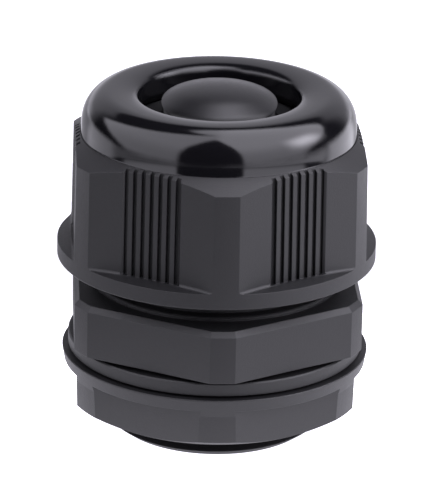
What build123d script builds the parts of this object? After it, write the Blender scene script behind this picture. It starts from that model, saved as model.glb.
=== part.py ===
"""Cable gland, M25 x 1.5, black polyamide, with dust plug, flat gasket and locknut.

Frame: millimetres, +Z up along the gland's axis, from the connection thread
towards the cap.  Origin: centre of the connection thread's end face.
One corner of the body's hexagon faces -Y; the cap and the locknut are turned slightly.
Profiles are (radius, height) points, revolved about Z.
"""
from build123d import *
import os
from math import cos, radians, sin, tan

os.makedirs("parts", exist_ok=True)

# ------------------------------------------------------------------ driving dimensions
# connection thread (ISO metric M25 x 1.5)
M25_MAJOR_R = 12.42          # crest radius as moulded
M25_MINOR_R = 11.52          # root radius
M25_PITCH = 1.5
M25_END_R = 11.25            # end of the lead-in chamfer
M25_LEAD_IN = 0.85           # height of that chamfer
M25_CREST_TOP = 9.8
THREAD_LEN = 11.55           # end face to hexagon
THREAD_RELIEF_Z = 10.2       # the relief groove below the hexagon begins here
THREAD_RELIEF_R = 11.42
CABLE_BORE_R = 9.2           # way in for the cable
CABLE_BORE_CHAMFER = 0.4

# hexagon of the body
BODY_AF = 32.8               # across flats (33 nominal, less moulding shrinkage)
BODY_FLAT = BODY_AF / 2
HEX_CORNER_R = 18.17         # turned corners
HEX_Z0 = THREAD_LEN
HEX_Z1 = 17.63
HEX_BEVEL = 0.6              # height of the bevel round the top
HEX_BEVEL_IN = 0.55          # its width on the turned corners
HEX_BEVEL_ANGLE = 42.5       # its lean on the flats, degrees from upright
SHOULDER_R = 14.5            # ring that the cap's mouth closes over
SHOULDER_Z = 18.10
SHOULDER_CHAMFER = 0.18
BEAD_IN, BEAD_OUT = 13.6, 15.6   # sealing bead under the hexagon
BEAD_H, BEAD_SIDE = 0.44, 0.25   # its height, and the width of each sloping side

# neck and its thread for the cap
NECK_MAJOR_R = 14.2
NECK_MINOR_R = 13.25
NECK_PITCH = 2.0
NECK_CHAMFER = 0.5
NECK_TOP_Z = 27.0
NECK_RELIEF_R = 13.15
NECK_RELIEF_TOP = 19.4       # thread relief above the shoulder ring ends here
NECK_BORE_R = 11.9
NECK_LEDGE_Z = 19.0

# four keys on two crossing diagonals stop the claws from turning
KEY_ANGLES = (45, -45)
KEY_W = 1.6
KEY_R = 12.5                 # outer end of the slots
KEY_H = 2.6
KEY_PLAY = 0.2               # keys are smaller than their slots by this, in width and span

# flat gasket
GASKET_Z0, GASKET_Z1 = 9.53, 11.09
GASKET_R_OUT, GASKET_R_IN = 17.0, 12.6
GASKET_IN_CHAMFER = 0.2
GASKET_LOW_CHAMFER, GASKET_TOP_CHAMFER = 0.08, 0.15   # outer edges

# locknut
NUT_Z0, NUT_Z1 = 3.08, 9.28
NUT_FLANGE_R = 17.68
NUT_FLANGE_CHAMFER_R, NUT_FLANGE_CHAMFER_H = 0.07, 0.10
NUT_AF = 31.87
NUT_FLAT = NUT_AF / 2
NUT_HEX_TOP = 7.85           # flats stop here, below the flange
NUT_END_R = 15.6
NUT_END_CHAMFER_H = 0.90
NUT_CORNER_R = 17.22         # turned corners, lower end
NUT_CORNER_TOP_R, NUT_CORNER_TOP_Z = NUT_CORNER_R + 0.12, 7.2
NUT_DRAFT = 1.2              # degrees, flats close towards the lower end
NUT_YAW = -1.4               # as it came to rest on the thread
NUT_BORE_R = 11.80           # crests of the nut's thread
NUT_THREAD_MAJOR_R = 12.58   # bottom of its grooves
NUT_BORE_CHAMFER = 0.8
NUT_RING_IN, NUT_RING_OUT = 13.3, 16.0   # serrated ring that grips the gasket
NUT_RING_H, NUT_RING_SIDE = 0.23, 0.15
NUT_TEETH = 48
NUT_GAP_HALF_W = 0.5         # V-shaped gaps between the teeth, at their open top
NUT_GAP_OVER = 0.08          # the V opens this far above the ring
NUT_GAP_FLOOR = 0.03         # and ends this far above the nut's face

# cap nut, outside
CAP_AF = 33.1                # across flats at the flange (33 nominal)
CAP_FLAT = CAP_AF / 2
CORNER_R = 18.33             # turned corners, and flange
CAP_YAW = 0.5                # degrees, as it came to rest on the neck
CAP_Z0 = 20.45
CAP_FLANGE_CHAMFER = 0.11
CAP_RIM_TOP = 22.29
CAP_FLANGE_TOP = 22.60       # flange top where it meets a flat
CAP_FOOT_R = 0.35            # hollow between the flats and the flange
CAP_DRAFT = 0.9
CAP_CORNER_TOP = 33.74
CAP_CORNER_TOP_R = CORNER_R - tan(radians(CAP_DRAFT)) * (CAP_CORNER_TOP - CAP_RIM_TOP)
DOME_BASE_R, DOME_BASE_Z = 15.70, 35.20
# (radius, height) offsets from the dome's base: small step round its foot
DOME_FOOT = ((0.14, -0.05), (0.03, -0.12), (0, 0.02))
DOME_WALL_TOP = 36.39
CREST_R, CREST_Z = 12.50, 40.03
LIP_R, LIP_Z = 9.38, 39.35
# cap nut, inside
CAP_MOUTH_R, CAP_MOUTH_Z = 14.9, 21.25
CAP_MOUTH_CHAMFER = 0.2
CAP_THREAD_MINOR_R = 13.45
CAP_THREAD_MAJOR_R = 14.37
CAP_THREAD_TOP = 30.3
CAP_THREAD_LEAD_IN = 0.9
CAP_UNDERCUT_R = 14.42       # turned groove at the thread's upper end
CAP_UNDERCUT_H, CAP_UNDERCUT_SLOPE_H = 1.1, 0.4
CAP_RELIEF_R, CAP_RELIEF_TOP = 12.9, 33.2
CAP_CONE_TOP = 37.3

# grip grooves, seven on each flat
GRIP_COUNT = 7
GRIP_PITCH = 1.066
GRIP_W = 0.52
GRIP_DEPTH = 0.53
GRIP_RIDGE_DROP = 0.05       # ridges stand this much below the flat
GRIP_SIDE = 0.22             # bevel at both sides of the grip
GRIP_Z0 = 22.56
GRIP_OUT = 1.5               # the cutter reaches this far outside the flat
GRIP_BEVEL_OUT = 0.5         # and its side bevels this far
GRIP_OVERLAP = 0.02          # side bevels run this far into the comb
GRIP_LOW_FILLET, GRIP_RIDGE_FILLET = 0.23, 0.24
GRIP_PICK_TOL = 0.03

# clamping claws
CLAW_Z0 = 22.05
CLAW_LIP_TOP = 23.05
CLAW_LIP_R = 9.3
CLAW_R = 11.8
CLAW_CHAMFER = 0.3
CLAW_IN_R = 11.15
CLAW_SLOT_Z = 25.4
CLAW_FLARE_Z0, CLAW_FLARE_Z1 = 30.3, 31.9
CLAW_FLARE_R = 12.55
CLAW_CLEAR = 0.15            # radial gap between the claws' nose and the cap's cone
CLAW_NOSE_T = 1.35           # radial thickness of the nose
CLAW_TIP_Z = 36.2
CLAW_TIP_IN_R = 9.6
CLAW_SLOTS = 12
CLAW_SLOT_W = 1.0

# seals
OSEAL_Z0, OSEAL_Z1 = 23.10, 36.60
OSEAL_R, OSEAL_IN_R = 11.10, 8.90
OSEAL_NOSE_R = 9.54
OSEAL_LOW_CHAMFER, OSEAL_TIP_CHAMFER = 0.3, 0.25
OSEAL_GROOVE_ZS = (27.1, 29.9)   # mid-heights of the grooves round the outside
OSEAL_GROOVE_DEPTH = 0.35
ISEAL_Z0, ISEAL_Z1 = 23.6, 37.0
ISEAL_R, ISEAL_IN_R = 8.85, 6.42
ISEAL_LOW_CHAMFER, ISEAL_TOP_CHAMFER = 0.3, 0.35
BEAD_MID_Z = 30.0            # snap bead between the two seals
SNAP_BEAD_H, SNAP_RECESS_DEPTH = 0.33, 0.35

# dust plug
PLUG_HEAD_R, PLUG_HEAD_C, PLUG_HEAD_Z = 6.6, 2.0, 38.65   # C: height of the crown
PLUG_R = 6.36
PLUG_Z0 = 24.6
PLUG_BULGE_IN = 0.055        # the head's lower arc has come in this far at mid-height
PLUG_END_TAPER_W, PLUG_END_TAPER_H = 0.8, 1.4
# hollow in the lower end
PLUG_HOLLOW_MOUTH_R, PLUG_HOLLOW_R = 4.0, 3.6
PLUG_HOLLOW_H, PLUG_HOLLOW_MID_H = 2.0, 2.4   # at its wall and on the axis

ROUND = 0.5523               # handle length of a Bezier quarter of an ellipse


# ------------------------------------------------------------------ profile helpers
def turned(points):
    """Solid of revolution from a closed polygon of (radius, height) points."""
    with BuildPart() as solid:
        with BuildSketch(Plane.XZ):
            with BuildLine():
                Polyline(*points, close=True)
            make_face()
        revolve(axis=Axis.Z)
    return solid.part


def swell(r, z_mid, rise, half_base, half_top):
    """Points, going up, of a trapezoid that stands rise outside radius r."""
    return [(r, z_mid - half_base), (r + rise, z_mid - half_top),
            (r + rise, z_mid + half_top), (r, z_mid + half_base)]


def elliptic_quarter(wall_r, wall_z, crest_r, crest_z):
    """Bezier points from an upright wall to a level crest."""
    return [(wall_r, wall_z),
            (wall_r, wall_z + ROUND * (crest_z - wall_z)),
            (crest_r + ROUND * (wall_r - crest_r), crest_z),
            (crest_r, crest_z)]


def cone_r(z):
    """Radius of the cap's inner cone at height z."""
    slope = (CAP_RELIEF_R - LIP_R) / (CAP_CONE_TOP - CAP_RELIEF_TOP)
    return CAP_RELIEF_R - slope * (z - CAP_RELIEF_TOP)


def cone_z(r):
    """Height at which the cap's inner cone has radius r."""
    slope = (CAP_CONE_TOP - CAP_RELIEF_TOP) / (CAP_RELIEF_R - LIP_R)
    return CAP_RELIEF_TOP + (CAP_RELIEF_R - r) * slope


# ------------------------------------------------------------------ helical cutters
def groove_bar(pitch, turns, z_start, r_root, r_open, w_root, w_open, outward=True):
    """Helical bar of trapezoid section, which cuts one thread groove.

    r_root and w_root are the groove's bottom, r_open and w_open its mouth.
    outward=True cuts a bolt (mouth outside), False cuts a nut (mouth inside).
    """
    over = 0.35 if outward else -0.35
    slope = (w_open - w_root) / 2 / abs(r_open - r_root)
    half_open = w_open / 2 + slope * abs(over)
    with BuildPart() as bar:
        with BuildLine():
            path = Helix(pitch=pitch, height=pitch * turns,
                         radius=r_root, center=(0, 0, z_start))
        with BuildSketch(Plane.XZ) as section:
            with BuildLine():
                Polyline(
                    (r_root, z_start - w_root / 2),
                    (r_open + over, z_start - half_open),
                    (r_open + over, z_start + half_open),
                    (r_root, z_start + w_root / 2),
                    close=True)
            make_face()
        sweep(sections=section.sketch, path=path, is_frenet=True)
    return bar.part


def nut_groove_bar(pitch, turns, z_over_x, **section):
    """Groove bar for a nut, begun NUT_START_YAW round from +X on the same helix."""
    return Rotation(0, 0, NUT_START_YAW) * groove_bar(
        pitch, turns, z_over_x + pitch * NUT_START_YAW / 360, outward=False, **section)


# Bolt grooves are centred at z = phase + k * pitch over +X.  The nuts' grooves stand
# half a pitch away, so each ridge runs in the middle of its groove.
M25_PHASE = -1.2
NECK_PHASE = 19.0
NUT_START_YAW = 35
m25_bolt_cut = groove_bar(M25_PITCH, turns=7.9, z_start=M25_PHASE,
                          r_root=M25_MINOR_R, r_open=M25_MAJOR_R,
                          w_root=0.26, w_open=1.30)
m25_nut_cut = nut_groove_bar(M25_PITCH, turns=5.7, z_over_x=M25_PHASE + 1.5 * M25_PITCH,
                             r_root=NUT_THREAD_MAJOR_R, r_open=NUT_BORE_R,
                             w_root=0.38, w_open=1.22)
cap_nut_cut = nut_groove_bar(NECK_PITCH, turns=4.6, z_over_x=NECK_PHASE + NECK_PITCH / 2,
                             r_root=CAP_THREAD_MAJOR_R, r_open=CAP_THREAD_MINOR_R,
                             w_root=0.50, w_open=1.60)
# half a turn out of phase: the finished collar is turned by 180 degrees
neck_bolt_cut = groove_bar(NECK_PITCH, turns=5.3, z_start=NECK_PHASE - NECK_PITCH / 2,
                           r_root=NECK_MINOR_R, r_open=NECK_MAJOR_R,
                           w_root=0.60, w_open=1.70)


# ------------------------------------------------------------------ hexagon cutter
def hexagon_cutter(flat, z0, z1, draft=0.0, yaw=0.0, floor_rise=0.0, foot=0.0):
    """Ring that turns a round blank into a hexagon; flats lean inward by draft going up.

    The ring's floor may rise towards the axis: floor_rise from the corner circle to a flat.
    foot is the radius of the hollow left between the floor and the flats.
    """
    inner_over, outer_over, end_over = 2.5, 3, 1.5
    slope = floor_rise / (CORNER_R - flat)
    inner_r = flat - inner_over
    outer_r = CORNER_R + outer_over
    with BuildPart() as ring:
        with BuildSketch(Plane.XZ):
            with BuildLine():
                Polyline((inner_r, z0 + slope * (CORNER_R - inner_r)),
                         (outer_r, z0 - slope * outer_over),
                         (outer_r, z1), (inner_r, z1), close=True)
            make_face()
        revolve(axis=Axis.Z)
        with BuildSketch(Plane.XY.offset(z0 - end_over)):
            RegularPolygon(radius=flat + end_over * tan(radians(draft)), side_count=6,
                           major_radius=False, rotation=30 + yaw)
        extrude(amount=z1 - z0 + 2 * end_over, taper=draft, mode=Mode.SUBTRACT)
        if foot:
            floor_edges = ring.edges().filter_by_position(
                Axis.Z, z0 - 0.6, z0 + floor_rise + 0.1)
            # only the edges along the flats, whose middles lie near radius flat
            fillet(floor_edges.filter_by(
                lambda e: Vector(e.center().X, e.center().Y, 0).length < flat + 0.4), radius=foot)
    return ring.part


# ------------------------------------------------------------------ gland body
with BuildPart() as key_slots:
    with BuildSketch(Plane.XY.offset(NECK_LEDGE_Z)):
        for angle in KEY_ANGLES:
            Rectangle(2 * KEY_R, KEY_W + KEY_PLAY, rotation=angle)
    extrude(amount=NECK_TOP_Z - NECK_LEDGE_Z + 1)

# The neck's threaded collar is cut on its own and half a turn away, then turned into
# phase and joined to the body across a flat face.
with BuildPart() as neck_collar:
    with BuildSketch(Plane.XZ):
        with BuildLine():
            Polyline((NECK_BORE_R, NECK_RELIEF_TOP),
                     (NECK_MAJOR_R - NECK_CHAMFER, NECK_RELIEF_TOP),
                     (NECK_MAJOR_R, NECK_RELIEF_TOP + NECK_CHAMFER),
                     (NECK_MAJOR_R, NECK_TOP_Z - NECK_CHAMFER),
                     (NECK_MAJOR_R - NECK_CHAMFER, NECK_TOP_Z),
                     (NECK_BORE_R, NECK_TOP_Z), close=True)
        make_face()
    revolve(axis=Axis.Z)
    add(key_slots.part, mode=Mode.SUBTRACT)
    add(neck_bolt_cut, mode=Mode.SUBTRACT)
neck_thread = Rotation(0, 0, 180) * neck_collar.part

# The connection thread is a sleeve of its own too, joined to the body across a flat ring.
with BuildPart() as thread_sleeve:
    with BuildSketch(Plane.XZ):
        with BuildLine():
            Polyline((CABLE_BORE_R + CABLE_BORE_CHAMFER, 0), (M25_END_R, 0),
                     (M25_MAJOR_R, M25_LEAD_IN), (M25_MAJOR_R, M25_CREST_TOP),
                     (THREAD_RELIEF_R, THREAD_RELIEF_Z), (CABLE_BORE_R, THREAD_RELIEF_Z),
                     (CABLE_BORE_R, CABLE_BORE_CHAMFER), close=True)
        make_face()
    revolve(axis=Axis.Z)
    add(m25_bolt_cut, mode=Mode.SUBTRACT)

body_flats = hexagon_cutter(BODY_FLAT, HEX_Z0, HEX_Z1)
body_bevel = hexagon_cutter(BODY_FLAT, HEX_Z1 - HEX_BEVEL, HEX_Z1, draft=HEX_BEVEL_ANGLE)
with BuildPart() as gland_body:
    with BuildSketch(Plane.XZ):
        with BuildLine():
            Polyline(
                (CABLE_BORE_R, THREAD_RELIEF_Z), (THREAD_RELIEF_R, THREAD_RELIEF_Z),
                (THREAD_RELIEF_R, HEX_Z0),
                (BEAD_IN, HEX_Z0), (BEAD_IN + BEAD_SIDE, HEX_Z0 - BEAD_H),
                (BEAD_OUT - BEAD_SIDE, HEX_Z0 - BEAD_H), (BEAD_OUT, HEX_Z0),
                (HEX_CORNER_R, HEX_Z0),
                (HEX_CORNER_R, HEX_Z1 - HEX_BEVEL), (HEX_CORNER_R - HEX_BEVEL_IN, HEX_Z1),
                (SHOULDER_R, HEX_Z1), (SHOULDER_R, SHOULDER_Z - SHOULDER_CHAMFER),
                (SHOULDER_R - SHOULDER_CHAMFER, SHOULDER_Z), (NECK_RELIEF_R, SHOULDER_Z),
                (NECK_RELIEF_R, NECK_RELIEF_TOP), (NECK_BORE_R, NECK_RELIEF_TOP),
                (NECK_BORE_R, NECK_LEDGE_Z), (CABLE_BORE_R, NECK_LEDGE_Z), close=True)
        make_face()
    revolve(axis=Axis.Z)
    add(key_slots.part, mode=Mode.SUBTRACT)
    add(body_flats, mode=Mode.SUBTRACT)
    add(body_bevel, mode=Mode.SUBTRACT)
    add(neck_thread)
    add(thread_sleeve.part)

# ------------------------------------------------------------------ cap nut
cap_flats = hexagon_cutter(CAP_FLAT, CAP_RIM_TOP, DOME_BASE_Z + 0.4, draft=CAP_DRAFT,
                           yaw=CAP_YAW, floor_rise=CAP_FLANGE_TOP - CAP_RIM_TOP,
                           foot=CAP_FOOT_R)

# one flat's comb of grip grooves, leaning with the flat; sketch y points to the axis
with BuildPart() as grip_comb:
    lean = radians(CAP_DRAFT)
    flat_here = CAP_FLAT - tan(lean) * (GRIP_Z0 - CAP_RIM_TOP)
    comb_plane = Plane(origin=(flat_here, 0, GRIP_Z0), x_dir=(0, 1, 0),
                       z_dir=(-sin(lean), 0, cos(lean)))
    zone_w = (GRIP_COUNT - 1) * GRIP_PITCH + GRIP_W
    bevel_in = zone_w / 2 - GRIP_OVERLAP
    with BuildSketch(comb_plane) as comb:
        with Locations((0, (GRIP_RIDGE_DROP - GRIP_OUT) / 2)):
            Rectangle(zone_w, GRIP_RIDGE_DROP + GRIP_OUT)
        with Locations((0, (GRIP_DEPTH - GRIP_OUT) / 2)):
            with GridLocations(GRIP_PITCH, 0, GRIP_COUNT, 1):
                Rectangle(GRIP_W, GRIP_DEPTH + GRIP_OUT)
        for side in (-1, 1):
            with BuildLine():
                Polyline((side * (zone_w / 2 + GRIP_SIDE + GRIP_BEVEL_OUT), -GRIP_BEVEL_OUT),
                         (side * bevel_in, GRIP_SIDE + GRIP_OVERLAP),
                         (side * bevel_in, -GRIP_BEVEL_OUT), close=True)
            make_face()
        # corners at the lowest X take one radius, any at the ridges' X the other
        low_corners = comb.vertices().group_by(Axis.X)[0]
        fillet(low_corners, radius=GRIP_LOW_FILLET)
        ridge_x = flat_here - GRIP_RIDGE_DROP
        ridge_corners = comb.vertices().filter_by_position(
            Axis.X, ridge_x - GRIP_PICK_TOL, ridge_x + GRIP_PICK_TOL)
        fillet(ridge_corners, radius=GRIP_RIDGE_FILLET)
    extrude(amount=DOME_BASE_Z - GRIP_Z0 + 1.0)

with BuildPart() as cap_nut:
    undercut_z = CAP_THREAD_TOP - CAP_UNDERCUT_H
    with BuildSketch(Plane.XZ):
        with BuildLine():
            Polyline(
                (CAP_MOUTH_R + CAP_MOUTH_CHAMFER, CAP_Z0),
                (CORNER_R - CAP_FLANGE_CHAMFER, CAP_Z0),
                (CORNER_R, CAP_Z0 + CAP_FLANGE_CHAMFER), (CORNER_R, CAP_RIM_TOP),
                (CAP_CORNER_TOP_R, CAP_CORNER_TOP),
                *[(DOME_BASE_R + dr, DOME_BASE_Z + dz) for dr, dz in DOME_FOOT],
                (DOME_BASE_R, DOME_WALL_TOP))
            Bezier(*elliptic_quarter(DOME_BASE_R, DOME_WALL_TOP, CREST_R, CREST_Z))
            Bezier(*reversed(elliptic_quarter(LIP_R, LIP_Z, CREST_R, CREST_Z)))
            Polyline(
                (LIP_R, LIP_Z), (LIP_R, CAP_CONE_TOP),
                (CAP_RELIEF_R, CAP_RELIEF_TOP), (CAP_RELIEF_R, CAP_THREAD_TOP),
                (CAP_UNDERCUT_R, CAP_THREAD_TOP), (CAP_UNDERCUT_R, undercut_z),
                (CAP_THREAD_MINOR_R, undercut_z - CAP_UNDERCUT_SLOPE_H),
                (CAP_THREAD_MINOR_R, CAP_MOUTH_Z + CAP_THREAD_LEAD_IN),
                (CAP_THREAD_MINOR_R + CAP_THREAD_LEAD_IN, CAP_MOUTH_Z),
                (CAP_MOUTH_R, CAP_MOUTH_Z), (CAP_MOUTH_R, CAP_Z0 + CAP_MOUTH_CHAMFER),
                (CAP_MOUTH_R + CAP_MOUTH_CHAMFER, CAP_Z0))
        make_face()
    revolve(axis=Axis.Z)
    add(cap_nut_cut, mode=Mode.SUBTRACT)
    add(cap_flats, mode=Mode.SUBTRACT)
    with PolarLocations(0, 6, start_angle=CAP_YAW):
        add(grip_comb.part, mode=Mode.SUBTRACT)

# ------------------------------------------------------------------ clamping claws
# one blade cuts the two slots that face each other across the axis; round at the root
with BuildPart() as slot_blade:
    root_z = CLAW_SLOT_Z + CLAW_SLOT_W / 2
    blade_top = CLAW_TIP_Z + 2
    with BuildSketch(Plane.XZ):
        with Locations((0, (root_z + blade_top) / 2)):
            Rectangle(CLAW_SLOT_W, blade_top - root_z)
        with Locations((0, root_z)):
            Circle(CLAW_SLOT_W / 2)
    extrude(amount=14, both=True)

with BuildPart() as clamping_claw:
    nose_in = CLAW_CLEAR + CLAW_NOSE_T   # nose's inner face, measured from the cap's cone
    with BuildSketch(Plane.XZ):
        with BuildLine():
            Polyline(
                (CLAW_LIP_R, CLAW_Z0), (CLAW_R - CLAW_CHAMFER, CLAW_Z0),
                (CLAW_R, CLAW_Z0 + CLAW_CHAMFER),
                (CLAW_R, CLAW_FLARE_Z0), (CLAW_FLARE_R, CLAW_FLARE_Z1),
                (CLAW_FLARE_R, cone_z(CLAW_FLARE_R + CLAW_CLEAR)),
                (cone_r(CLAW_TIP_Z) - CLAW_CLEAR, CLAW_TIP_Z),
                (CLAW_TIP_IN_R, CLAW_TIP_Z),
                (CLAW_TIP_IN_R, cone_z(CLAW_TIP_IN_R + nose_in)),
                (CLAW_IN_R, cone_z(CLAW_IN_R + nose_in)),
                (CLAW_IN_R, CLAW_LIP_TOP), (CLAW_LIP_R, CLAW_LIP_TOP), close=True)
        make_face()
    revolve(axis=Axis.Z)
    with PolarLocations(0, CLAW_SLOTS // 2):
        add(slot_blade.part, mode=Mode.SUBTRACT)
    # keys that run in the body's slots, rooted a little inside the wall
    with BuildSketch(Plane.XY.offset(CLAW_Z0 + CLAW_CHAMFER)):
        for angle in KEY_ANGLES:
            Rectangle(2 * KEY_R - KEY_PLAY, KEY_W, rotation=angle)
        Circle(CLAW_R - 0.2, mode=Mode.SUBTRACT)
    extrude(amount=KEY_H)

# ------------------------------------------------------------------ seals
oseal_in = CLAW_CLEAR + CLAW_NOSE_T + 0.05   # from the cap's cone, just inside the claws
outer_seal = turned([
    (OSEAL_IN_R, OSEAL_Z0), (OSEAL_R - OSEAL_LOW_CHAMFER, OSEAL_Z0),
    (OSEAL_R, OSEAL_Z0 + OSEAL_LOW_CHAMFER),
    *[point for z in OSEAL_GROOVE_ZS
      for point in swell(OSEAL_R, z, -OSEAL_GROOVE_DEPTH, half_base=0.5, half_top=0.2)],
    (OSEAL_R, cone_z(OSEAL_R + oseal_in)),
    (OSEAL_NOSE_R, cone_z(OSEAL_NOSE_R + oseal_in)),
    (OSEAL_NOSE_R, OSEAL_Z1 - OSEAL_TIP_CHAMFER), (OSEAL_NOSE_R - OSEAL_TIP_CHAMFER, OSEAL_Z1),
    (OSEAL_IN_R, OSEAL_Z1),
    *reversed(swell(OSEAL_IN_R, BEAD_MID_Z, SNAP_RECESS_DEPTH, half_base=0.75, half_top=0.4))])

inner_seal = turned([
    (ISEAL_IN_R + ISEAL_LOW_CHAMFER, ISEAL_Z0), (ISEAL_R - ISEAL_LOW_CHAMFER, ISEAL_Z0),
    (ISEAL_R, ISEAL_Z0 + ISEAL_LOW_CHAMFER),
    *swell(ISEAL_R, BEAD_MID_Z, SNAP_BEAD_H, half_base=0.70, half_top=0.36),
    (ISEAL_R, ISEAL_Z1 - ISEAL_TOP_CHAMFER), (ISEAL_R - ISEAL_TOP_CHAMFER, ISEAL_Z1),
    (ISEAL_IN_R + ISEAL_TOP_CHAMFER, ISEAL_Z1), (ISEAL_IN_R, ISEAL_Z1 - ISEAL_TOP_CHAMFER),
    (ISEAL_IN_R, ISEAL_Z0 + ISEAL_LOW_CHAMFER)])

# ------------------------------------------------------------------ dust plug
with BuildPart() as dust_plug:
    # the bulb of the head meets the stem where its radius has shrunk to the stem's
    drop = PLUG_HEAD_C * (1 - (PLUG_R / PLUG_HEAD_R) ** 2) ** 0.5
    plug_top = PLUG_HEAD_Z + PLUG_HEAD_C
    with BuildSketch(Plane.XZ):
        with BuildLine():
            Bezier(*elliptic_quarter(PLUG_HEAD_R, PLUG_HEAD_Z, 0, plug_top))
            ThreePointArc((PLUG_HEAD_R, PLUG_HEAD_Z),
                          (PLUG_HEAD_R - PLUG_BULGE_IN, PLUG_HEAD_Z - drop / 2),
                          (PLUG_R, PLUG_HEAD_Z - drop))
            Polyline((0, plug_top), (0, PLUG_Z0 + PLUG_HOLLOW_MID_H),
                     (PLUG_HOLLOW_R, PLUG_Z0 + PLUG_HOLLOW_H), (PLUG_HOLLOW_MOUTH_R, PLUG_Z0),
                     (PLUG_R - PLUG_END_TAPER_W, PLUG_Z0),
                     (PLUG_R, PLUG_Z0 + PLUG_END_TAPER_H), (PLUG_R, PLUG_HEAD_Z - drop))
        make_face()
    revolve(axis=Axis.Z)

# ------------------------------------------------------------------ flat gasket
flat_gasket = turned([
    (GASKET_R_IN, GASKET_Z0 + GASKET_IN_CHAMFER), (GASKET_R_IN + GASKET_IN_CHAMFER, GASKET_Z0),
    (GASKET_R_OUT - GASKET_LOW_CHAMFER, GASKET_Z0),
    (GASKET_R_OUT, GASKET_Z0 + GASKET_LOW_CHAMFER),
    (GASKET_R_OUT, GASKET_Z1 - GASKET_TOP_CHAMFER),
    (GASKET_R_OUT - GASKET_TOP_CHAMFER, GASKET_Z1),
    (GASKET_R_IN + GASKET_IN_CHAMFER, GASKET_Z1), (GASKET_R_IN, GASKET_Z1 - GASKET_IN_CHAMFER)])

# ------------------------------------------------------------------ locknut
nut_flat_low = NUT_FLAT - tan(radians(NUT_DRAFT)) * (NUT_HEX_TOP - NUT_Z0)
nut_flats = hexagon_cutter(nut_flat_low, NUT_Z0 - 0.3, NUT_HEX_TOP, draft=-NUT_DRAFT,
                           yaw=NUT_YAW)
nut_ring_top = NUT_Z1 + NUT_RING_H
with BuildPart() as nut_tooth_gap:
    with BuildSketch(Plane.YZ.offset(NUT_RING_IN - 0.2)):
        with BuildLine():
            Polyline((-NUT_GAP_HALF_W, nut_ring_top + NUT_GAP_OVER),
                     (NUT_GAP_HALF_W, nut_ring_top + NUT_GAP_OVER),
                     (0, NUT_Z1 + NUT_GAP_FLOOR), close=True)
        make_face()
    extrude(amount=NUT_RING_OUT - NUT_RING_IN + 0.4)

with BuildPart() as locknut:
    with BuildSketch(Plane.XZ):
        with BuildLine():
            Polyline(
                (NUT_BORE_R, NUT_Z0 + NUT_BORE_CHAMFER), (NUT_BORE_R + NUT_BORE_CHAMFER, NUT_Z0),
                (NUT_END_R, NUT_Z0), (NUT_CORNER_R, NUT_Z0 + NUT_END_CHAMFER_H),
                (NUT_CORNER_TOP_R, NUT_CORNER_TOP_Z),
                (NUT_FLANGE_R, NUT_Z1 - NUT_FLANGE_CHAMFER_H),
                (NUT_FLANGE_R - NUT_FLANGE_CHAMFER_R, NUT_Z1),
                (NUT_RING_OUT, NUT_Z1), (NUT_RING_OUT - NUT_RING_SIDE, nut_ring_top),
                (NUT_RING_IN + NUT_RING_SIDE, nut_ring_top), (NUT_RING_IN, NUT_Z1),
                (NUT_BORE_R + NUT_BORE_CHAMFER, NUT_Z1), (NUT_BORE_R, NUT_Z1 - NUT_BORE_CHAMFER),
                close=True)
        make_face()
    revolve(axis=Axis.Z)
    add(nut_flats, mode=Mode.SUBTRACT)
    with PolarLocations(0, NUT_TEETH):
        add(nut_tooth_gap.part, mode=Mode.SUBTRACT)
    add(m25_nut_cut, mode=Mode.SUBTRACT)

# ------------------------------------------------------------------ export
pieces = {
    "gland_body": gland_body.part,
    "cap_nut": cap_nut.part,
    "clamping_claw": clamping_claw.part,
    "outer_seal": outer_seal,
    "inner_seal": inner_seal,
    "dust_plug": dust_plug.part,
    "flat_gasket": flat_gasket,
    "locknut": locknut.part,
}
for name, piece in pieces.items():
    piece.label = name
    export_step(piece, f"parts/{name}.step")
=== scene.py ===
# A black plastic cable gland with its cap nut, seals, locknut and dust plug.
# It stands upright around the Z axis on white paper. The camera looks from -Y,
# a little from the left (-X) and from above. Lengths are metres, angles are degrees.
import math

import bpy
from mathutils import Matrix, Vector


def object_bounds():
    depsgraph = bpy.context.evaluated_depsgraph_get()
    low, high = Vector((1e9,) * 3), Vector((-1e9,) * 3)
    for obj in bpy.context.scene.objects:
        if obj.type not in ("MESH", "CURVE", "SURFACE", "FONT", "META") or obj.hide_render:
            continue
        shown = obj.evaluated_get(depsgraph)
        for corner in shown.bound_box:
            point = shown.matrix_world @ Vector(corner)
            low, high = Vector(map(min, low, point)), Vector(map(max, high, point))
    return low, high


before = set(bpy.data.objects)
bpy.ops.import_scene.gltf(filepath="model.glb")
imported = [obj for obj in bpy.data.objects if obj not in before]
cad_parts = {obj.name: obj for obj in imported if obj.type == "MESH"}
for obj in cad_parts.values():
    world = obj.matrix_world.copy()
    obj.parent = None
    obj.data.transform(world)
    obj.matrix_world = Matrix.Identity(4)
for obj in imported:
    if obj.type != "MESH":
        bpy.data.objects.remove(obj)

MM = 0.001
DEGREES = 180.0 / math.pi                   # degrees in a radian
CAMERA_AZIMUTH = math.radians(-3.1)         # from -Y, positive towards +X

cad_box = [[float(c) for c in corner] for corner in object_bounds()]
scene = bpy.context.scene


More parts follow.
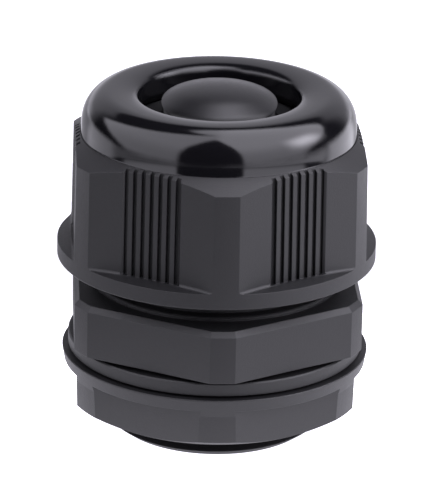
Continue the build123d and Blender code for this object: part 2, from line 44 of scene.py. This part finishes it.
# ---------------------------------------------------------------- shader nodes
class Value:
    """A number in a node tree. Arithmetic and comparisons on it add Math nodes."""

    def __init__(self, tree, socket):
        self.tree = tree
        self.socket = socket

    def math(self, operation, *others):
        return math_node(self.tree, operation, self, *others)

    def __add__(self, other):
        return self.math("ADD", other)

    def __radd__(self, other):
        return math_node(self.tree, "ADD", other, self)

    def __sub__(self, other):
        return self.math("SUBTRACT", other)

    def __rsub__(self, other):
        return math_node(self.tree, "SUBTRACT", other, self)

    def __mul__(self, other):
        return self.math("MULTIPLY", other)

    def __truediv__(self, other):
        return self.math("DIVIDE", other)

    def __pow__(self, other):
        return self.math("POWER", other)

    def __gt__(self, other):
        return self.math("GREATER_THAN", other)

    def __lt__(self, other):
        return self.math("LESS_THAN", other)

    def __abs__(self):
        return self.math("ABSOLUTE")


def set_inputs(tree, node, inputs):
    """Link or set inputs, given by name or number, to Values, sockets or constants."""
    for key, value in inputs.items():
        if isinstance(value, Value):
            value = value.socket
        if isinstance(value, bpy.types.NodeSocket):
            tree.links.new(value, node.inputs[key])
        else:
            node.inputs[key].default_value = value


def add_node(tree, kind, inputs=None, **settings):
    node = tree.nodes.new(kind)
    for key, value in settings.items():
        setattr(node, key, value)
    set_inputs(tree, node, inputs or {})
    return node


def math_node(tree, operation, *operands):
    node = add_node(tree, "ShaderNodeMath", dict(enumerate(operands)), operation=operation)
    return Value(tree, node.outputs[0])


def vector_math(tree, operation, inputs):
    return add_node(tree, "ShaderNodeVectorMath", inputs, operation=operation).outputs[0]


def scaled(tree, vector, factor):
    return vector_math(tree, "SCALE", {0: vector, 3: factor})


def map_range(value, low, high, start=0.0, end=1.0, interpolation="SMOOTHSTEP"):
    """Go from start, at low and below, to end, at high and above."""
    node = add_node(value.tree, "ShaderNodeMapRange",
                    {0: value, 1: low, 2: high, 3: start, 4: end},
                    interpolation_type=interpolation)
    return Value(value.tree, node.outputs[0])


def window(value, low, high, soft):
    """1 between low and high, 0 outside; each edge is soft wide and centred on its limit."""
    half = soft / 2
    return (map_range(value, low - half, low + half)
            * (1.0 - map_range(value, high - half, high + half)))


def mix_value(factor, start, end):
    node = add_node(factor.tree, "ShaderNodeMix", {0: factor, 2: start, 3: end},
                    data_type="FLOAT")
    return Value(factor.tree, node.outputs[0])


def noise(tree, position, scale, detail=2.0, roughness=0.5):
    node = add_node(tree, "ShaderNodeTexNoise", {
        "Scale": scale, "Detail": detail, "Roughness": roughness, "Vector": position})
    return Value(tree, node.outputs["Fac"])


def separate(tree, vector):
    node = add_node(tree, "ShaderNodeSeparateXYZ", {0: vector})
    return [Value(tree, socket) for socket in node.outputs]


def axis_distance(x, y):
    return (x * x + y * y).math("SQRT")


def azimuth_of(x, y):
    """Degrees around Z from -Y, positive towards +X."""
    return x.math("ARCTAN2", y * -1.0) * DEGREES


def bevel_normal(tree, radius):
    return add_node(tree, "ShaderNodeBevel", {"Radius": radius}, samples=4).outputs[0]


def camera_ray(tree):
    return Value(tree, add_node(tree, "ShaderNodeLightPath").outputs["Is Camera Ray"])


def object_position(tree):
    return add_node(tree, "ShaderNodeTexCoord").outputs["Object"]


def new_material(name):
    material = bpy.data.materials.new(name)
    material.use_nodes = True
    tree = material.node_tree
    tree.nodes.clear()
    output = add_node(tree, "ShaderNodeOutputMaterial")
    surface = add_node(tree, "ShaderNodeBsdfPrincipled")
    tree.links.new(surface.outputs[0], output.inputs[0])
    return material, tree, surface


# ---------------------------------------------------------------- shaped normals
CROWN_FOOT_Z = 35.16 * MM
CROWN_LEAN_TOP_Z = 38.2 * MM                # the lean fades out here
CROWN_LEAN = 0.24                           # upward lean of the normal at the foot
CROWN_START_GAP = 0.02 * MM                 # the lean starts this far above the foot
CROWN_BEVEL = 0.6 * MM
CROWN_BEVEL_Z = 35.75 * MM, 36.0 * MM       # the wide bevel takes over between these
LIP_RADIUS = 11.8 * MM                      # the lip lies inside this radius
LIP_Z = 39.34 * MM                          # and above this height
LIP_FACING = 0.70, 0.97                     # grazing angles where the lip rolls over
LIP_LEAN = 1.6

RIM_START_Z = 36.2 * MM, 37.0 * MM          # the rim's lean fades in, then out
RIM_END_Z = 38.7 * MM, 40.0 * MM
RIM_LEAN = 1.5


def lean_up(tree, normal, amount):
    """Tilt a normal towards +Z."""
    up = add_node(tree, "ShaderNodeCombineXYZ", {2: amount}).outputs[0]
    return vector_math(tree, "NORMALIZE", {0: vector_math(tree, "ADD", {0: normal, 1: up})})


def polished_crown(tree, position, normal):
    """The polished crown's foot leans back a little and its inner lip rolls over tighter."""
    x, y, z = separate(tree, position)
    foot = map_range(z, CROWN_FOOT_Z, CROWN_LEAN_TOP_Z, start=CROWN_LEAN, end=0.0)
    lean = foot * (z > CROWN_FOOT_Z + CROWN_START_GAP)

    facing = Value(tree, add_node(tree, "ShaderNodeLayerWeight").outputs["Facing"])
    graze = map_range(facing, *LIP_FACING, start=0.0, end=LIP_LEAN)
    lip = graze * (axis_distance(x, y) < LIP_RADIUS) * (z > LIP_Z)

    widen = map_range(z, *CROWN_BEVEL_Z, interpolation="LINEAR")
    blend = add_node(tree, "ShaderNodeMix",
                     {0: widen, 4: normal, 5: bevel_normal(tree, CROWN_BEVEL)},
                     data_type="VECTOR")
    return lean_up(tree, blend.outputs[1], lean + lip)


def rolled_rim(tree, position, normal):
    """The plug's head rolls over into its side without a hard dark rim."""
    z = separate(tree, position)[2]
    band = map_range(z, *RIM_START_Z) * (1.0 - map_range(z, *RIM_END_Z))
    return lean_up(tree, normal, band * RIM_LEAN)


# ---------------------------------------------------------------- moulded plastic
EDGE_BEVEL = 0.12 * MM
GRAIN_DEPTH = 0.04 * MM
GRAIN_STRENGTH = 0.35                       # bump strength for a grain of 1
MOTTLE = 0.12                               # full range of the tonal mottling
SCUFF = 0.10                                # full range of the roughness variation

POLISH_Z = 35.14 * MM                       # polished above this height
POLISH_RADIUS = 15.9 * MM                   # and inside this radius
POLISH_ROUGHNESS = 0.09
POLISH_GRAIN = 0.012                        # bump strength where polished


def moulded_plastic(name, color, roughness, grain, grain_scale=9000.0, specular=0.5,
                    crown=False, rim=False):
    """Black moulded plastic: spark-eroded grain, faint flow mottling, soft edges."""
    material, tree, surface = new_material(name)
    position = object_position(tree)
    fine = noise(tree, position, scale=grain_scale, detail=3.0, roughness=0.6)
    broad = noise(tree, position, scale=260.0, detail=3.0, roughness=0.55)
    scuff = noise(tree, position, scale=1500.0, detail=4.0, roughness=0.65)

    shade = broad.math("MULTIPLY_ADD", MOTTLE, 1.0 - MOTTLE / 2)
    rough = scuff.math("MULTIPLY_ADD", SCUFF, roughness - SCUFF / 2)
    strength = GRAIN_STRENGTH * grain

    normal = bevel_normal(tree, EDGE_BEVEL)
    if crown:
        normal = polished_crown(tree, position, normal)
        x, y, z = separate(tree, position)
        polished = (z > POLISH_Z) * (axis_distance(x, y) < POLISH_RADIUS)
        rough = mix_value(polished, rough, POLISH_ROUGHNESS)
        strength = mix_value(polished, strength, POLISH_GRAIN)
    if rim:
        normal = rolled_rim(tree, position, normal)

    bump = add_node(tree, "ShaderNodeBump", {
        "Distance": GRAIN_DEPTH, "Height": fine, "Normal": normal, "Strength": strength})
    set_inputs(tree, surface, {
        "Base Color": scaled(tree, color, shade),
        "Roughness": rough,
        "Normal": bump.outputs[0],
        "Specular IOR Level": specular,
        "IOR": 1.5,
    })
    return material


cap_nylon = moulded_plastic("cap_nylon", color=(0.0035, 0.0034, 0.0042), roughness=0.50,
                            grain=1.5, grain_scale=5200.0, crown=True)
matte_nylon = moulded_plastic("matte_nylon", color=(0.0036, 0.0035, 0.0043), roughness=0.52,
                              grain=1.4, grain_scale=5200.0)
claw_nylon = moulded_plastic("claw_nylon", color=(0.0035, 0.0035, 0.0042), roughness=0.45,
                             grain=0.5)
plug_plastic = moulded_plastic("plug_plastic", color=(0.0045, 0.0044, 0.0052), roughness=0.34,
                               grain=0.5, grain_scale=6000.0, rim=True)
seal_rubber = moulded_plastic("seal_rubber", color=(0.003, 0.003, 0.0033), roughness=0.62,
                              grain=0.8, grain_scale=5000.0, specular=0.14)
gasket_rubber = moulded_plastic("gasket_rubber", color=(0.0035, 0.0034, 0.004), roughness=0.5,
                                grain=1.4, grain_scale=3500.0)

PIECE_MATERIALS = {
    "cap_nut": cap_nylon,
    "gland_body": matte_nylon,
    "locknut": matte_nylon,
    "clamping_claw": claw_nylon,
    "dust_plug": plug_plastic,
    "outer_seal": seal_rubber,
    "inner_seal": seal_rubber,
    "flat_gasket": gasket_rubber,
}
for piece_name, piece_material in PIECE_MATERIALS.items():
    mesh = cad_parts[piece_name].data
    mesh.materials.clear()
    mesh.materials.append(piece_material)
    for polygon in mesh.polygons:
        polygon.material_index = 0

# ---------------------------------------------------------------- floor
FLOOR_HALF = 1.5
FLOOR_GAP = 0.00002                         # below the lowest piece
PAPER_GREYS = 0.26, 0.30                    # darkest and lightest fibre

# The paper glows to light the gland from below. Each ramp is
# (from, to, glow at from, glow at to), over x, y or the distance from the origin.
GLOW_LEFT, GLOW_RIGHT_EXTRA = 0.12, 1.20
GLOW_ACROSS = 0.005, 0.09, GLOW_LEFT, GLOW_LEFT + GLOW_RIGHT_EXTRA
GLOW_FRONT_TO_BACK = -0.01, 0.04, 1.0, 0.3  # multiplies the glow across
GLOW_NEAR = 0.020, 0.055, 1.65, 0.0
GLOW_NEAR_START = 0.006, 0.019              # none right under the gland
GLOW_BEHIND_Y = 0.03, 0.12                  # a strip behind the gland fades in
GLOW_BEHIND_X = 0.025, 0.075                # and fades out to both sides
GLOW_BEHIND = 0.9
FAN_START = 0.07, 0.11                      # distance where the fans fade in
FAN_SOFT = 12.0
FANS = [                                    # azimuth from, to, glow
    (96.0, 138.0, 1.8),
    (-134.0, -96.0, 0.9),
]
GLOW_SEEN = 0.6                             # extra where the camera sees it: pure white
GLOW_COLOR = 1.0, 0.98, 1.09, 1


def floor_glow(tree, position):
    x, y, _ = separate(tree, position)
    length = add_node(tree, "ShaderNodeVectorMath", {0: position}, operation="LENGTH")
    distance = Value(tree, length.outputs["Value"])

    glow = map_range(x, *GLOW_ACROSS) * map_range(y, *GLOW_FRONT_TO_BACK)
    strip = 1.0 - map_range(abs(x), *GLOW_BEHIND_X)
    glow = glow + map_range(y, *GLOW_BEHIND_Y) * strip * GLOW_BEHIND

    around = azimuth_of(x, y)
    away = map_range(distance, *FAN_START)
    for low, high, power in FANS:
        glow = glow + window(around, low, high, FAN_SOFT) * away * power

    glow = glow + camera_ray(tree) * GLOW_SEEN
    near = map_range(distance, *GLOW_NEAR) * map_range(distance, *GLOW_NEAR_START)
    return glow + near


def paper_material():
    material, tree, surface = new_material("floor_paper")
    position = object_position(tree)
    fibre = add_node(tree, "ShaderNodeValToRGB", {0: noise(tree, position, scale=900.0)})
    for element, grey in zip(fibre.color_ramp.elements, PAPER_GREYS):
        element.color = (grey, grey, grey, 1)
    set_inputs(tree, surface, {
        "Base Color": fibre.outputs[0],
        "Emission Color": GLOW_COLOR,
        "Emission Strength": floor_glow(tree, position),
        "Roughness": 0.9,
        "Specular IOR Level": 0.1,
    })
    return material


def make_floor():
    mesh = bpy.data.meshes.new("floor")
    z = cad_box[0][2] - FLOOR_GAP
    corners = [(x * FLOOR_HALF, y * FLOOR_HALF, z)
               for x, y in ((-1, -1), (1, -1), (1, 1), (-1, 1))]
    mesh.from_pydata(corners, [], [(0, 1, 2, 3)])
    floor = bpy.data.objects.new("floor", mesh)
    scene.collection.objects.link(floor)
    mesh.materials.append(paper_material())


make_floor()

# ---------------------------------------------------------------- camera
CAMERA_ELEVATION = math.radians(20.65)
CAMERA_ROLL = math.radians(1.19)
CAMERA_DISTANCE = 0.45825
CAMERA_TARGET = Vector((0, 0, 20.70 * MM))


def make_camera():
    data = bpy.data.cameras.new("camera")
    camera = bpy.data.objects.new("camera", data)
    scene.collection.objects.link(camera)
    back = Vector((math.sin(CAMERA_AZIMUTH) * math.cos(CAMERA_ELEVATION),
                   -math.cos(CAMERA_AZIMUTH) * math.cos(CAMERA_ELEVATION),
                   math.sin(CAMERA_ELEVATION)))
    place = Matrix.Translation(CAMERA_TARGET + back * CAMERA_DISTANCE)
    aim = (-back).to_track_quat("-Z", "Y").to_matrix().to_4x4()
    camera.matrix_world = place @ aim @ Matrix.Rotation(CAMERA_ROLL, 4, "Z")
    data.sensor_width = 36.0
    data.sensor_fit = "AUTO"
    data.lens = 286.56
    data.shift_x = -0.0028
    data.shift_y = 0.0002
    data.clip_start = 0.01
    data.clip_end = 20
    scene.camera = camera


make_camera()

# ---------------------------------------------------------------- studio light
# Azimuths count from the camera's side, positive to the right. Pairs marked
# (left, right) hold one value for each soft box.
SIDE_BLEND = 0.06                           # half width of the change from left to right
BOX_LOW = 1.8, 2.1                          # radiance low down (left, right)
BOX_RISE = 0.75, 1.4                        # and what it gains upwards (left, right)
BOX_RISE_EL = 5.0, 45.0                     # elevations the gain spans
BOX_AZ = 80.0, 72.0                         # the lower edge climbs from here (left, right)
BOX_SLOPE = 0.52, 0.75                      # at this slope (left, right)
BOX_BACK_EL = 60.0, 55.0                    # up to this elevation (left, right)
BOX_SOFT = 3.0

ARCH_MID_AZ = -6.5                          # the dark arch around the camera
ARCH_HALF_AZ = 27.0
ARCH_SPRING_EL = 6.0
ARCH_TOP_EL = 71.0
ARCH_POWERS = 1.5, 1.9                      # its curve upwards and across
ARCH_EDGE = 0.93, 1.07

# An unlit wedge high up behind on the left. It starts at WEDGE_AZ at elevation
# WEDGE_EL, and its top is at WEDGE_TOP_EL straight behind.
WEDGE_AZ, WEDGE_EL, WEDGE_SLOPE = 96.0, 65.0, 0.75
WEDGE_TOP_EL, WEDGE_TOP_SLOPE = 57.0, 0.55
WEDGE_SOFT = 4.0

BACK_AZ = 120.0, 145.0                      # the wall behind fades in between these
BACK_EL = 37.0
BACK_SOFT = 5.0
BACK_LEVEL = 0.55
ROOM_LEVEL = 0.012
LIGHT_TINT = 1.0, 0.978, 1.09

PATCHES = [
    # azimuth from, to, softness, elevation from, to, softness, radiance
    (68.0, 96.0, 22.0, 16.0, 38.0, 18.0, 7.0),          # brighter middle of the right lamp
    (97.0, 152.0, 12.0, -60.0, 0.5, 4.0, 2.2),          # low white boards behind,
    (-150.0, -97.0, 12.0, -60.0, 0.5, 4.0, 1.2),        # right and left
    (140.0, 300.0, 16.0, -60.0, 8.0, 8.0, 0.55),        # weaker low boards between them,
    (-300.0, -140.0, 16.0, -60.0, 8.0, 8.0, 0.55),      # right and left
]


def soft_boxes(side, azimuth, elevation):
    """Two tall soft boxes that meet overhead, less the camera's arch and the wedge."""
    def by_side(pair):
        return pair[0] + side * (pair[1] - pair[0])

    turned = abs(azimuth)
    climb = (turned - by_side(BOX_AZ)).math("MAXIMUM", 0.0) * by_side(BOX_SLOPE)
    edge = climb.math("MINIMUM", by_side(BOX_BACK_EL))
    canopy = map_range(elevation - edge, -BOX_SOFT, BOX_SOFT)

    above = (elevation - ARCH_SPRING_EL).math("MAXIMUM", 0.0) / (ARCH_TOP_EL - ARCH_SPRING_EL)
    across = (azimuth - ARCH_MID_AZ) / ARCH_HALF_AZ
    arch = above ** ARCH_POWERS[0] + abs(across) ** ARCH_POWERS[1]
    canopy = canopy * map_range(arch, *ARCH_EDGE)

    beyond = turned - (WEDGE_AZ + (WEDGE_EL - elevation) * WEDGE_SLOPE)
    over = elevation - (WEDGE_TOP_EL + (180.0 - turned) * WEDGE_TOP_SLOPE)
    wedge = (map_range(beyond, -WEDGE_SOFT, WEDGE_SOFT)
             * (1.0 - map_range(over, -WEDGE_SOFT, WEDGE_SOFT)))
    canopy = canopy * (1.0 - wedge * (1.0 - side))

    level = by_side(BOX_LOW) + map_range(elevation, *BOX_RISE_EL) * by_side(BOX_RISE)
    return canopy * level, turned


def make_world():
    world = bpy.data.worlds.new("studio")
    scene.world = world
    world.use_nodes = True
    tree = world.node_tree
    tree.nodes.clear()
    output = add_node(tree, "ShaderNodeOutputWorld")
    background = add_node(tree, "ShaderNodeBackground")
    tree.links.new(background.outputs[0], output.inputs[0])

    direction = add_node(tree, "ShaderNodeTexCoord").outputs["Generated"]
    turn = add_node(tree, "ShaderNodeVectorRotate",
                    {"Angle": -CAMERA_AZIMUTH, "Vector": direction}, rotation_type="Z_AXIS")
    x, y, z = separate(tree, turn.outputs[0])
    elevation = z.math("ARCSINE") * DEGREES
    azimuth = azimuth_of(x, y)
    side = map_range(x, -SIDE_BLEND, SIDE_BLEND)        # 0 on the left, 1 on the right

    total, turned = soft_boxes(side, azimuth, elevation)
    for az_low, az_high, az_soft, el_low, el_high, el_soft, power in PATCHES:
        patch = (window(azimuth, az_low, az_high, az_soft)
                 * window(elevation, el_low, el_high, el_soft))
        total = total + patch * power
    back_wall = map_range(turned, *BACK_AZ) * window(elevation, -90.0, BACK_EL, BACK_SOFT)
    total = total + back_wall * BACK_LEVEL + ROOM_LEVEL

    # the camera itself sees plain white
    pick = add_node(tree, "ShaderNodeMix", {
        0: camera_ray(tree), 6: scaled(tree, LIGHT_TINT, total), 7: (1, 1, 1, 1)},
        data_type="RGBA")
    set_inputs(tree, background, {"Color": pick.outputs[2], "Strength": 1.0})


make_world()

# ---------------------------------------------------------------- render
scene.view_settings.view_transform = "Standard"
scene.view_settings.look = "None"
scene.view_settings.exposure = 0.0
scene.view_settings.gamma = 1.0
scene.cycles.use_denoising = True
